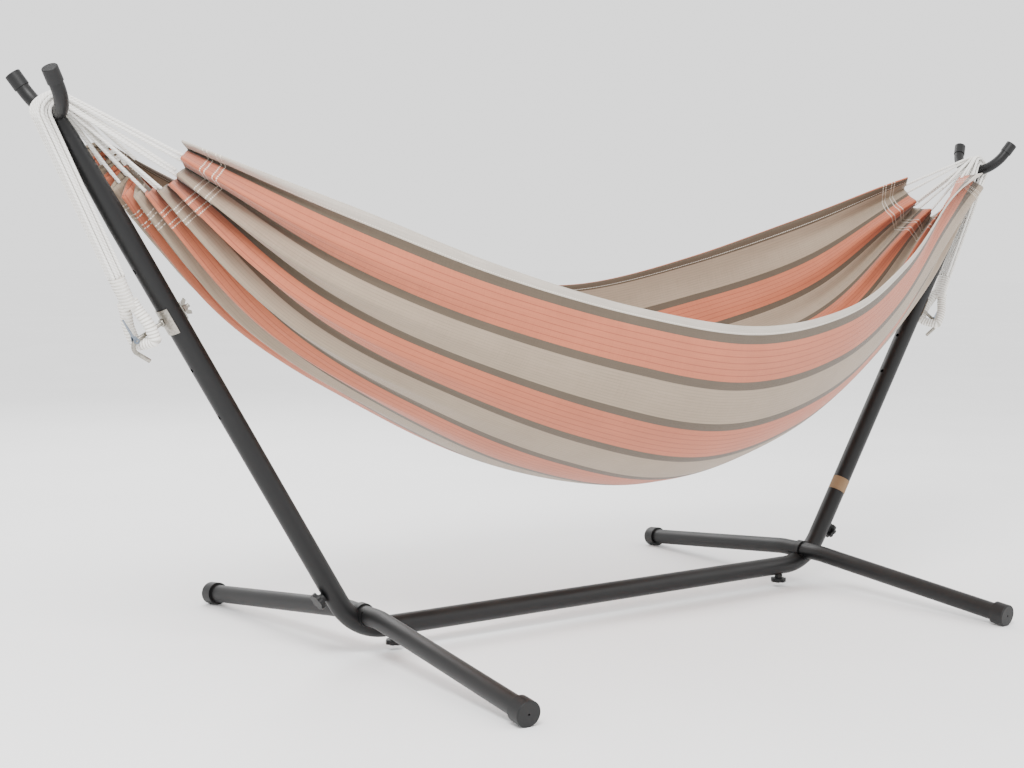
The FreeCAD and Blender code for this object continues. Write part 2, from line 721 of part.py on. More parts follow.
def strand_route(side, row, column):
    """Points of one strand: cloth, two corners round the fork, neck; and the fork's arc."""
    across = column * STRAND_PITCH_FORK
    radius = (FORK_OD + STRAND_OD) / 2 + STRAND_CLEAR + row * ROW_PITCH
    valley = FORK_RADIUS - (FORK_OD + STRAND_OD) / 2
    lift = valley - math.sqrt(valley ** 2 - across ** 2)
    fork_axis = on_upright(side, FORK_BOTTOM + lift, 0, across)
    bottom, pull = pull_line(side)
    pull_out = Vector(side * pull.z, 0, -side * pull.x)
    rows = len(STRAND_ROWS)
    neck = bottom + pull * (EYE_LENGTH + NECK_LENGTH)
    neck = neck + pull_out * ((row - (rows - 1) / 2) * ROW_PITCH)
    neck = neck + Y_AXIS * (column * STRAND_PITCH_NECK)
    cloth = end_point(side, row, column)
    from_cloth = tangent_normal(fork_axis, Vector(cloth.x, across, cloth.z), radius, side, False)
    from_neck = tangent_normal(fork_axis, Vector(neck.x, across, neck.z), radius, side, True)
    middle = (from_cloth + from_neck).normalize()
    corners = []
    for first, last in ((from_cloth, middle), (middle, from_neck)):
        corners.append(fork_axis + (first + last) * (radius / (1 + first.dot(last))))
    return [cloth, corners[0], corners[1], neck], radius


def tangent_normal(centre, target, radius, side, outer):
    """Unit vector from a circle's centre to where a line from target touches its top."""
    to_target = target - centre
    distance = math.hypot(to_target.x, to_target.z)
    base = math.atan2(to_target.z, to_target.x)
    spread = math.acos(radius / distance)
    turn = spread if (side > 0) == outer else -spread
    return Vector(math.cos(base + turn), 0, math.sin(base + turn))


def strand_solid(points, radius):
    """A strand along its points, with the volume and arc radii checked."""
    radii = []
    for before, here, after in zip(points, points[1:], points[2:]):
        turn = math.pi - (before - here).getAngle(after - here)
        limit = 0.4999 * min((here - before).Length, (after - here).Length) / math.tan(turn / 2)
        radii.append(min(radius, limit))
    solid = rod(points, radii, STRAND_OD / 2)
    length = sum(edge.Length for edge in route(points, radii))
    expected = length * math.pi * (STRAND_OD / 2) ** 2
    if abs(solid.Volume / expected - 1) > 0.02:
        raise ValueError("strand volume is off")
    return solid, length, radii


def cut_x(side):
    return side * (abs(on_upright(side, FORK_BOTTOM).x) - STRING_CUT)


def at_x(first, last, x):
    share = (x - first.x) / (last.x - first.x)
    return first + (last - first) * share


def between(shape, low_x, high_x):
    """The stretch of a strand between two upright planes."""
    low, high = sorted((low_x, high_x))
    box = Part.makeBox(high - low, 1000, 2000, Vector(low, -500, 0))
    return shape.common(box).Solids[0]


def strings(side):
    """Strands of one end: the part that stays with the stand and the part that swings."""
    fixed = []
    swinging = []
    plane = cut_x(side)
    for row, column in strand_places():
        points, radius = strand_route(side, row, column)
        start = at_x(points[0], points[1], plane - side * STRAND_OD)
        solid, length, radii = strand_solid([start] + points[1:], radius)
        fixed.append(between(solid, plane, side * (FORK_X + 500)))
        start = points[0] + (points[1] - points[0]).normalize() * STRING_START
        run = at_x(points[0], points[1], plane + side * STRAND_OD) - start
        rest = cylinder(start, run, STRAND_OD / 2, run.Length)
        swinging.append(between(rest, 0, plane - side * CUT_GAP))
        if side > 0 and column in (0, 0.5):
            total = length + (at_x(points[0], points[1], plane - side * STRAND_OD) - points[0]).Length
            print("strand row", row, "length", round(total), "arc radii",
                  [round(value, 1) for value in radii])
    return group(fixed), group(swinging)


def loop(side):
    """Whipped rope loop: round under the hook and up both sides into the neck."""
    bottom, pull = pull_line(side)
    meet = LOOP_OD / 2 + 0.1
    points = []
    for end in (-1, 1):
        top = bottom + pull * EYE_LENGTH + Y_AXIS * (end * meet)
        knee = bottom + pull * (EYE_LENGTH - LOOP_STRAIGHT) + Y_AXIS * (end * meet)
        hip = bottom + pull * LOOP_HIP + Y_AXIS * (end * LOOP_RADIUS)
        toe = bottom + Y_AXIS * (end * LOOP_RADIUS)
        points.append([top, knee, hip, toe])
    route_points = points[0] + points[1][::-1]
    bends = [LOOP_BEND, LOOP_BEND, LOOP_RADIUS * 0.9995]
    radii = bends + bends[::-1]
    print("loop arc radii", radii)
    return rod(route_points, radii, LOOP_OD / 2)


def neck(side):
    """Bound barrel between the loop and the loose strands."""
    bottom, pull = pull_line(side)
    third = pull.cross(Y_AXIS)
    start = bottom + pull * EYE_LENGTH
    wires = []
    rows = len(STRAND_ROWS)
    top_wide = STRAND_PITCH_NECK * max(STRAND_ROWS) / 2
    top_deep = ((rows - 1) * ROW_PITCH + STRAND_OD) / 2
    sizes = ((0, LOOP_OD, LOOP_OD / 2 + 0.5), (1, top_wide, top_deep))
    for share, wide, deep in sizes:
        centre = start + pull * (NECK_LENGTH * share)
        ellipse = Part.Ellipse(centre + Y_AXIS * wide, centre + third * deep, centre)
        wires.append(Part.Wire([ellipse.toShape()]))
    return Part.makeLoft(wires, True, True)


# ---------------------------------------------------------------- assembly

def build():
    nodes = {"beam": beam(), "paper_band": paper_band(), "fabric_bed": fabric_bed()}
    nuts = []
    for name, side in SIDES.items():
        nodes[name + "_elbow"] = elbow(side)
        nodes[name + "_upright"] = upright(side)
        nodes[name + "_fork"] = fork(side)
        nodes[name + "_leg_spigot"] = leg_spigot(side)
        nodes[name + "_leg_saddle"] = leg_saddle(side)
        nodes[name + "_leg_strap"] = leg_strap(side)
        nodes[name + "_hook_bolt"] = hook_bolt(side)
        nodes[name + "_hook_latch"] = hook_latch(side)
        nodes[name + "_latch_pin"] = latch_pin(side)
        nodes[name + "_outer_plate"] = outer_plate(side)
        nodes[name + "_inner_washer"] = inner_washer(side)
        nodes[name + "_wing_nut"] = wing_nut(side)
        nodes[name + "_rope_loop"] = loop(side)
        nodes[name + "_rope_neck"] = neck(side)
        fixed, swinging = strings(side)
        nodes[name + "_fork_strings"] = fixed
        nodes[name + "_bed_strings"] = swinging
        for end_name, end in (("front", -1), ("back", 1)):
            nodes[name + "_" + end_name + "_leg"] = leg(side, end)
            nodes[name + "_" + end_name + "_foot"] = foot_cap(side, end)
            nodes[name + "_" + end_name + "_fork_cap"] = fork_cap(side, end)
        for place, (point, direction) in knob_places(side).items():
            nodes[name + "_" + place + "_knob"] = knob_head(point, direction)
            nodes[name + "_" + place + "_screw"] = knob_screw(point, direction)
            nuts.append(weld_nut(point, direction))
    nodes["weld_nuts"] = group(nuts)
    for name, shape in nodes.items():
        save(name, shape)
    low = Vector(0, 0, BEAM_HEIGHT)
    high = Vector(0, 0, BEAM_HEIGHT)
    for shape in nodes.values():
        box = shape.optimalBoundingBox()
        low = Vector(min(low.x, box.XMin), min(low.y, box.YMin), min(low.z, box.ZMin))
        high = Vector(max(high.x, box.XMax), max(high.y, box.YMax), max(high.z, box.ZMax))
    print(len(nodes), "nodes; low corner", tuple(low), "high corner", tuple(high))


build()
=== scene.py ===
"""Hammock on its steel tube stand: cloth bed, end strings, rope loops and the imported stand."""
import math

import bmesh
import bpy
from mathutils import Matrix, Vector, noise


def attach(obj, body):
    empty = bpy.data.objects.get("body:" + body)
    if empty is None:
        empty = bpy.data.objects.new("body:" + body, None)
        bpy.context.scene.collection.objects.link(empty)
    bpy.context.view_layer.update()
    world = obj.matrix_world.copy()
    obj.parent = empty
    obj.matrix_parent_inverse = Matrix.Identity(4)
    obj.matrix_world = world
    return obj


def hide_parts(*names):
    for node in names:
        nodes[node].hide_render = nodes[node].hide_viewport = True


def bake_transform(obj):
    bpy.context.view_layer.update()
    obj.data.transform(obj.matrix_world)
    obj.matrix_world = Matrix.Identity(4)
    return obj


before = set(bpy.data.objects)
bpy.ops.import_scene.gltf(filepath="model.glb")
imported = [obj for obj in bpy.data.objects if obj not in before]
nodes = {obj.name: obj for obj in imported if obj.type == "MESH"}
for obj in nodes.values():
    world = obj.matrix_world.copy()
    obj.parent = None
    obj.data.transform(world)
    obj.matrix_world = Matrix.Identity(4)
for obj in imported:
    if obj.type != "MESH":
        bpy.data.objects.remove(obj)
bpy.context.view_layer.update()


# ------------------------------------------------------------------ viewpoint
# The stand is seen from the front left, a little above the cloth's ends, with a
# long lens, so that the near fork is large and the far one small.

YAW, PITCH, ROLL = math.radians(38.735), math.radians(-4.4), math.radians(1.04)
EYE = Vector((-2.3574, -2.7879, 0.8296))
LENS, LENS_SHIFT = 58.70, (-0.0528, -0.0166)

ahead = Vector((math.cos(PITCH) * math.sin(YAW), math.cos(PITCH) * math.cos(YAW), math.sin(PITCH)))
level = Vector((math.cos(YAW), -math.sin(YAW), 0))
upward = level.cross(ahead)
right = math.cos(ROLL) * level + math.sin(ROLL) * upward
above = -math.sin(ROLL) * level + math.cos(ROLL) * upward
lens = bpy.data.cameras.new("camera")
lens.sensor_width = 36
lens.lens = LENS
lens.shift_x, lens.shift_y = LENS_SHIFT
camera = bpy.data.objects.new("camera", lens)
turned = Matrix((right, above, -ahead)).transposed().to_4x4()
camera.matrix_world = Matrix.Translation(EYE) @ turned
bpy.context.scene.collection.objects.link(camera)
bpy.context.scene.camera = camera


# ------------------------------------------------------------------ end strings
# Eighteen white cotton cords at each end: twisted three-strand cord, sewn into the
# gathered cloth, laid over the fork in four rows and bound together at the neck.

MM = 0.001
CURVE_STEPS = 24
CORNER_X, BEAM_HEIGHT, UPRIGHT_ANGLE = 0.644, 0.050, math.radians(58.3)
FORK_BOTTOM, FORK_OD, FORK_RADIUS = 1.147, 0.025, 0.078
STRAND_OD = 0.0064
STRAND_ROWS = (5, 4, 5, 4)
STRAND_CLEAR = 0.0003
STRAIGHT_SHARE = 6              # length a string stays straight off the fork, in diameters
PITCH_FORK = STRAND_OD + 0.0022
PITCH_NECK = STRAND_OD + 0.0001
ROW_PITCH = PITCH_NECK * math.sqrt(3) / 2 + 0.0003
HOOK_HEIGHT, HOOK_RADIUS = 0.738, 0.004
LOOP_OD, LOOP_RADIUS, LOOP_OUT, LOOP_HIP, LOOP_STRAIGHT = 0.021, 0.022, 0.068, 0.038, 0.015
EYE_LENGTH, NECK_LENGTH = 0.084, 0.046
SIDES = {"left": -1, "right": 1}
FORK_X = CORNER_X + FORK_BOTTOM * math.cos(UPRIGHT_ANGLE)
FORK_Z = BEAM_HEIGHT + FORK_BOTTOM * math.sin(UPRIGHT_ANGLE)

# hems and bottom of the cloth: (share of the way out to the fork, across, drop below the fork)
FRONT_HEM = [(-0.820, -44, 36), (-0.634, -237, 149), (-0.417, -328, 254), (-0.188, -385, 329),
             (0.048, -409, 366), (0.277, -390, 330), (0.513, -298, 231), (0.746, -170, 82),
             (0.958, -50, 8)]
BELLY = [(-0.872, 0, 130), (-0.690, 0, 371), (-0.473, 0, 544), (-0.241, 0, 674),
         (0.000, 0, 728), (0.241, 0, 676), (0.473, 0, 548), (0.690, 0, 381), (0.886, 0, 116)]
BACK_HEM = [(-0.934, 48, 41), (-0.706, 200, 121), (-0.481, 320, 211), (-0.265, 385, 271),
            (-0.016, 405, 302), (0.201, 388, 304), (0.433, 328, 236), (0.658, 222, 132),
            (0.814, 48, 24)]


def on_line(points, along):
    """A point of a smooth line through evenly spaced points; along runs from -1 to 1."""
    count = len(points) - 1
    place = (along + 1) / 2 * count
    first = min(int(place), count - 1)
    part = place - first
    near = [Vector(points[min(max(first + step, 0), count)]) for step in (-1, 0, 1, 2)]
    if first == 0:
        near[0] = near[1] * 2 - near[2]
    if first == count - 1:
        near[3] = near[2] * 2 - near[1]
    bend = near[0] * -1 + near[1] * 3 - near[2] * 3 + near[3]
    curve = near[0] * 2 - near[1] * 5 + near[2] * 4 - near[3]
    slope = near[2] - near[0]
    local = near[1] + (slope * part + curve * part ** 2 + bend * part ** 3) * 0.5
    return Vector((local.x * FORK_X, local.y * MM, FORK_Z - local.z * MM))


def bed_axes(along):
    front, back = on_line(FRONT_HEM, along), on_line(BACK_HEM, along)
    middle = (front + back) * 0.5
    return middle, (back - front) * 0.5, on_line(BELLY, along) - middle


def on_upright(side, up, out=0.0, across=0.0):
    """A point beside an upright, from the corner where its axis crosses the beam's."""
    cos, sin = math.cos(UPRIGHT_ANGLE), math.sin(UPRIGHT_ANGLE)
    return Vector((side * (CORNER_X + up * cos + out * sin), across,
                   BEAM_HEIGHT + up * sin - out * cos))


def pull_line(side):
    """Bottom of the rope loop, and the direction from it up to the strings on the fork."""
    bottom = on_upright(side, HOOK_HEIGHT - HOOK_RADIUS - STRAND_CLEAR - LOOP_OD / 2, LOOP_OUT)
    bundle = (FORK_OD + STRAND_OD + (len(STRAND_ROWS) - 1) * ROW_PITCH) / 2
    top = on_upright(side, FORK_BOTTOM, bundle)
    return bottom, (top - bottom).normalized()


def touch(centre, target, radius, side, outer):
    """Direction from a circle's centre to where a line from target touches its top."""
    away = target - centre
    base = math.atan2(away.z, away.x)
    spread = math.acos(radius / math.hypot(away.x, away.z))
    turn = spread if (side > 0) == outer else -spread
    return Vector((math.cos(base + turn), 0, math.sin(base + turn)))


def strand_route(side, row, column, cloth):
    """Control points of one string, from the neck over the fork to the cloth."""
    across = column * PITCH_FORK
    radius = (FORK_OD + STRAND_OD) / 2 + STRAND_CLEAR + row * ROW_PITCH
    valley = FORK_RADIUS - (FORK_OD + STRAND_OD) / 2
    lift = valley - math.sqrt(valley ** 2 - across ** 2)
    axis = on_upright(side, FORK_BOTTOM + lift, 0, across)
    bottom, pull = pull_line(side)
    pull_out = Vector((side * pull.z, 0, -side * pull.x))
    neck = bottom + pull * (EYE_LENGTH + NECK_LENGTH)
    neck += pull_out * ((row - (len(STRAND_ROWS) - 1) / 2) * ROW_PITCH)
    neck += Vector((0, column * PITCH_NECK, 0))
    from_cloth = touch(axis, Vector((cloth.x, across, cloth.z)), radius, side, False)
    from_neck = touch(axis, Vector((neck.x, across, neck.z)), radius, side, True)
    middle = (from_cloth + from_neck).normalized()
    corners = [axis + (first + last) * (radius / (1 + first.dot(last)))
               for first, last in ((from_cloth, middle), (middle, from_neck))]
    straight = STRAIGHT_SHARE * STRAND_OD
    before = corners[1] + (neck - corners[1]).normalized() * straight
    after = corners[0] + (cloth - corners[0]).normalized() * straight
    return [neck, before, corners[1], corners[0], after, cloth]


def spline_line(points, steps):
    """Points along the smooth line that a cord takes through its control points."""
    curve = bpy.data.curves.new("line", "CURVE")
    curve.dimensions = "3D"
    curve.resolution_u = steps
    spline = curve.splines.new("NURBS")
    spline.points.add(len(points) - 1)
    for place, point in zip(spline.points, points):
        place.co = (*point, 1)
    spline.order_u = 3
    spline.use_endpoint_u = True
    holder = bpy.data.objects.new("line", curve)
    mesh = bpy.data.meshes.new_from_object(holder)
    line = [vertex.co.copy() for vertex in mesh.vertices]
    bpy.data.objects.remove(holder)
    bpy.data.curves.remove(curve)
    bpy.data.meshes.remove(mesh)
    return line


def stations(line, spacing):
    """Evenly spaced centres along a line, each with two directions across it."""
    lengths = [0.0]
    for here, there in zip(line, line[1:]):
        lengths.append(lengths[-1] + (there - here).length)
    count = max(int(lengths[-1] / spacing), 2)
    places = []
    piece = 0
    for step in range(count + 1):
        far = lengths[-1] * step / count
        while piece < len(line) - 2 and lengths[piece + 1] < far:
            piece += 1
        share = (far - lengths[piece]) / (lengths[piece + 1] - lengths[piece])
        places.append(line[piece].lerp(line[piece + 1], share))
    rings = []
    side = Vector((0, 1, 0))
    for step, place in enumerate(places):
        run = places[min(step + 1, count)] - places[max(step - 1, 0)]
        run.normalize()
        side = (side - run * side.dot(run)).normalized()
        rings.append((place, side.copy(), run.cross(side), lengths[-1] * step / count))
    return rings


def new_piece(name, shape, material):
    """Object from a bmesh, shaded smooth, with one material."""
    mesh = bpy.data.meshes.new(name)
    shape.to_mesh(mesh)
    shape.free()
    for face in mesh.polygons:
        face.use_smooth = True
    mesh.materials.append(material)
    piece = bpy.data.objects.new(name, mesh)
    bpy.context.scene.collection.objects.link(piece)
    return piece


def rolled(name, rings, around, radius_at, material):
    """Tube rolled up from a grid: radius_at gives its radius from the turn and the length."""
    shape = bmesh.new()
    layer = shape.loops.layers.uv.new("along")
    bmesh.ops.create_grid(shape, x_segments=around, y_segments=len(rings) - 1, size=1)
    for face in shape.faces:
        for corner in face.loops:
            place = corner.vert.co
            step = round((place.y + 1) / 2 * (len(rings) - 1))
            corner[layer].uv = ((place.x + 1) / 2, rings[step][3])
    for vertex in shape.verts:
        turn = (vertex.co.x + 1) * math.pi
        step = round((vertex.co.y + 1) / 2 * (len(rings) - 1))
        centre, first, second, far = rings[step]
        radius = radius_at(turn, far)
        vertex.co = centre + (first * math.cos(turn) + second * math.sin(turn)) * radius
    bmesh.ops.remove_doubles(shape, verts=shape.verts, dist=1e-6)
    bmesh.ops.holes_fill(shape, edges=[edge for edge in shape.edges if edge.is_boundary], sides=0)
    bmesh.ops.recalc_face_normals(shape, faces=shape.faces)
    return new_piece(name, shape, material)


class Number:
    """A shader number: Python's operators on it add Math nodes."""

    def __init__(self, finish, socket):
        self.finish, self.socket = finish, socket

    def math(self, operation, *others):
        values = dict(enumerate((self, *others)))
        return self.finish.node("ShaderNodeMath", {"operation": operation}, values)

    def __add__(self, other):
        return self.math("ADD", other)

    def __sub__(self, other):
        return self.math("SUBTRACT", other)

    def __rsub__(self, other):
        return self.finish.node("ShaderNodeMath", {"operation": "SUBTRACT"}, {0: other, 1: self})

    def __mul__(self, other):
        return self.math("MULTIPLY", other)

    def __truediv__(self, other):
        return self.math("DIVIDE", other)

    def __mod__(self, other):
        return self.math("FLOORED_MODULO", other)

    def __gt__(self, other):
        return self.math("GREATER_THAN", other)

    def __lt__(self, other):
        return self.math("LESS_THAN", other)

    def __abs__(self):
        return self.math("ABSOLUTE")

    def sine(self):
        return self.math("SINE")

    __radd__, __rmul__ = __add__, __mul__


def tint(red, green, blue):
    """Linear colour from the usual 0 to 255 values."""
    def linear(level):
        share = level / 255
        return share / 12.92 if share <= 0.04045 else ((share + 0.055) / 1.055) ** 2.4
    return (linear(red), linear(green), linear(blue), 1.0)


COLOUR_A, COLOUR_B, COLOUR_OUT = 6, 7, 2       # sockets of the Mix node when it mixes colours


class Finish:
    """A material on the Principled shader, with its fixed values given by name."""

    def __init__(self, name, **fixed):
        self.material = bpy.data.materials.new(name)
        self.material.use_nodes = True
        self.tree = self.material.node_tree
        self.shader = self.tree.nodes["Principled BSDF"]
        for key, value in fixed.items():
            self.shader.inputs[key.replace("_", " ")].default_value = value

    def node(self, kind, settings=None, values=None, output=0):
        made = self.tree.nodes.new(kind)
        for key, value in (settings or {}).items():
            if key == "stops":
                while len(made.color_ramp.elements) < len(value):
                    made.color_ramp.elements.new(0.5)
                for stop, (place, colour) in zip(made.color_ramp.elements, value):
                    stop.position = place
                    stop.color = colour
            elif key == "interpolation":
                made.color_ramp.interpolation = value
            else:
                setattr(made, key, value)
        for key, value in (values or {}).items():
            if isinstance(value, Number):
                self.tree.links.new(value.socket, made.inputs[key])
            else:
                made.inputs[key].default_value = value
        return Number(self, made.outputs[output])

    def mix(self, share, first, second, blend="MIX"):
        settings = {"data_type": "RGBA", "blend_type": blend}
        values = {0: share, COLOUR_A: first, COLOUR_B: second}
        return self.node("ShaderNodeMix", settings, values, COLOUR_OUT)

    def ramp(self, stops, share, interpolation="LINEAR"):
        """Colour from a list of (place, colour) stops."""
        settings = {"stops": stops, "interpolation": interpolation}
        return self.node("ShaderNodeValToRGB", settings, {"Fac": share})

    def noise(self, place, scale, detail=3.0, stretch=(1, 1, 1)):
        moved = self.node("ShaderNodeMapping", {}, {"Vector": place, "Scale": stretch})
        return self.node("ShaderNodeTexNoise", {},
                         {"Vector": moved, "Scale": scale, "Detail": detail})

    def spot(self):
        return self.node("ShaderNodeTexCoord", {}, {}, "Object")

    def own_map(self, name):
        return self.node("ShaderNodeUVMap", {"uv_map": name})

    def parts(self, vector):
        """The three parts of a vector."""
        split = self.node("ShaderNodeSeparateXYZ", {}, {"Vector": vector})
        return [Number(self, socket) for socket in split.socket.node.outputs]

    def relief(self, height, strength, depth):
        return self.node("ShaderNodeBump", {}, {"Height": height, "Strength": strength,
                                                "Distance": depth})

    def feed(self, **links):
        for key, value in links.items():
            self.tree.links.new(value.socket, self.shader.inputs[key.replace("_", " ")])
        return self.material


TWIST = 0.020                   # a strand goes once round the cord in this length
PLIES, YARNS = 3, 12            # strands in a cord, and yarns seen round it
TWIST_MEAN, TWIST_RELIEF = 0.97, 0.055
RING_SPACING = 0.0032
AROUND = 12
CORD_BUMP = 0.0004


def wave(number):
    """Sine of a number of whole turns, brought between 0 and 1."""
    return (number * (2 * math.pi)).sine() * 0.5 + 0.5


def cord_finish():
    """Undyed cotton cord: three twisted strands, with painted shade in the grooves between them, a
    little fluffy.
    """
    finish = Finish("white_cord", Sheen_Weight=0.35, Sheen_Roughness=0.6)
    turn, far, _ = finish.parts(finish.own_map("along"))
    # Painted shade: the colour darkens in the grooves between the three strands, following their
    # twist.
    strand_groove_shade = wave(turn * PLIES + far * (PLIES / TWIST))
    yarn = wave(turn * YARNS - far * (YARNS / TWIST))
    blotch = finish.noise(finish.spot(), 60.0, 4.0)
    shade = strand_groove_shade * 0.55 + yarn * 0.2 + blotch * 0.25
    stops = [(0.1, tint(205, 200, 192)), (0.4, tint(234, 231, 225)), (0.9, tint(247, 246, 242))]
    colour = finish.ramp(stops, shade)
    bump = finish.relief(yarn + blotch, 0.5, CORD_BUMP)
    return finish.feed(Base_Color=colour, Roughness=blotch * 0.12 + 0.78, Normal=bump)


white_cord = cord_finish()


def twisted(turn, far):
    """Radius of a three-strand twisted cord."""
    phase = PLIES * (turn + 2 * math.pi * far / TWIST)
    return STRAND_OD / 2 * (TWIST_MEAN + TWIST_RELIEF * math.cos(phase))


# ------------------------------------------------------------------ hammock cloth
# One length of woven striped cotton, hemmed on both long sides and gathered in pleats
# at its two ends, where the strings are sewn in. It hangs as a deep, skewed trough.

CLOTH_WIDTH, CLOTH_LENGTH = 1.25, 2.50
NORMAL_STEP, NEAR_END = 0.01, 0.9999
CLOTH_THICK, HEM_THICK = 0.0014, 0.0032
CASING = 0.075                  # doubled and stitched stretch at each gathered end
HEM_WIDTH, BAR, STRIPE = 0.018, 0.019, 0.082
REPEAT = 2 * (BAR + STRIPE)
ACROSS_STEPS, ALONG_STEPS = 198, 236
END_CROWDING = 0.11             # grid rows crowd towards the ends by this share
PLEAT_START = 0.22              # pleats begin this share of the way out to each end
PLEATS = {-1: (0.101, 0.0775), 1: (0.202, 0.179)}   # width of a pleat, place of its crest
PLEAT_DEPTH = {-1: 0.015, 1: 0.017}
PLEAT_SHARP, FINE_PLEATS, FINE_SHARE = 1.3, 3, 0.22
PLEAT_WANDER, FINE_WANDER = 1.2, 4.0
PLEAT_LEAST, PLEAT_VARIES = 0.85, 0.5
INWARD, INWARD_RISE = 0.013, 10     # valleys between pleats sink this far at the very end
CROWDING = 0.80
BROAD_CREASE, SMALL_CREASE = 0.0060, 0.0022
WANDER_NOISE, BROAD_NOISE, SMALL_NOISE = (5, 2.2), (3.2, 1.9), (13, 4.5)
FLUTTER, FLUTTER_REACH = 0.006, 0.05
EDGE_OUT, EDGE_RISE, EDGE_REACH = 0.016, 6, 0.12    # hem corners reach out to the fork
WEAVE_WARP, WEAVE_WEFT, WEAVE_BUMP = 0.0016, 0.0018, 0.0005
PIN_PITCH, PIN_WIDTH, PIN_MARGIN = 0.0137, 0.0017, 0.0068
FAINT_PITCH, FAINT_WIDTH = 0.0068, 0.0018
SEAM_MIDDLE, SEAM_PAIR, SEAM_GAP, SEAM_WIDTH = 0.054, 0.012, 0.004, 0.0022
SEAM_DASH, SEAM_STITCH = 0.006, 0.0042
HEM_SEAM_IN, HEM_SEAM_WIDTH, HEM_DASH, HEM_STITCH = 0.003, 0.0016, 0.005, 0.0034


def end_share(along):
    """How far a place is into the gathering at its end: 0 in the middle, 1 at the end."""
    share = max((abs(along) - PLEAT_START) / (1 - PLEAT_START), 0)
    return share * share * (3 - 2 * share)


def cloth_turn(along, across):
    """Turn round the trough for a place across the cloth; the gathering crowds one side."""
    share = end_share(along)
    if along < 0:
        crowded = across ** CROWDING
    else:
        crowded = 1 - (1 - across) ** CROWDING
    return math.pi * (across + (crowded - across) * share)


def trough(along, turn):
    middle, half, down = bed_axes(along)
    return middle - half * math.cos(turn) + down * math.sin(turn)


def cloth_noise(scales, flat, along, layer):
    """Seeded noise over the cloth, with one scale across it and one along it."""
    return noise.noise(Vector((flat * scales[0], along * scales[1], layer)))


def cloth_place(along, across):
    """Where a place of the cloth hangs, with its pleats, slack and soft creases."""
    turn = cloth_turn(along, across)
    step = NORMAL_STEP
    here = trough(along, turn)
    run = trough(min(along + step, 1), turn) - trough(max(along - step, -1), turn)
    over = trough(along, turn + step) - trough(along, turn - step)
    out = over.cross(run).normalized()
    side = -1 if along < 0 else 1
    share = end_share(along)
    period, crest = PLEATS[side]
    flat = across * CLOTH_WIDTH
    phase = 2 * math.pi * (flat - crest) / period
    wander = cloth_noise(WANDER_NOISE, flat, along, 3.1 * side)
    fold = math.cos(phase + PLEAT_WANDER * wander)
    fine = math.cos(phase * FINE_PLEATS + FINE_WANDER * wander)
    depth = PLEAT_DEPTH[side] * share ** PLEAT_SHARP
    lift = depth * (fold * (PLEAT_LEAST + PLEAT_VARIES * wander) + FINE_SHARE * fine * share)
    broad = cloth_noise(BROAD_NOISE, flat, along, 7.7)
    ripple = cloth_noise(SMALL_NOISE, flat, along, 1.3)
    lift -= INWARD * share ** INWARD_RISE * (1 - fold)
    lift += (BROAD_CREASE * broad + SMALL_CREASE * ripple) * (1 - 0.5 * share)
    edge = min(flat, CLOTH_WIDTH - flat)
    flutter = math.exp(-edge / FLUTTER_REACH) * noise.noise(Vector((along * 6, side * 2.0, 0.4)))
    reach = EDGE_OUT * share ** EDGE_RISE * math.exp(-edge / EDGE_REACH)
    return here + out * (lift + FLUTTER * flutter) + Vector((side * reach, 0, 0))


def crowd_ends(share):
    """Rows of the grid lie closer together where the pleats are."""
    return share + END_CROWDING * math.sin(math.pi * share)


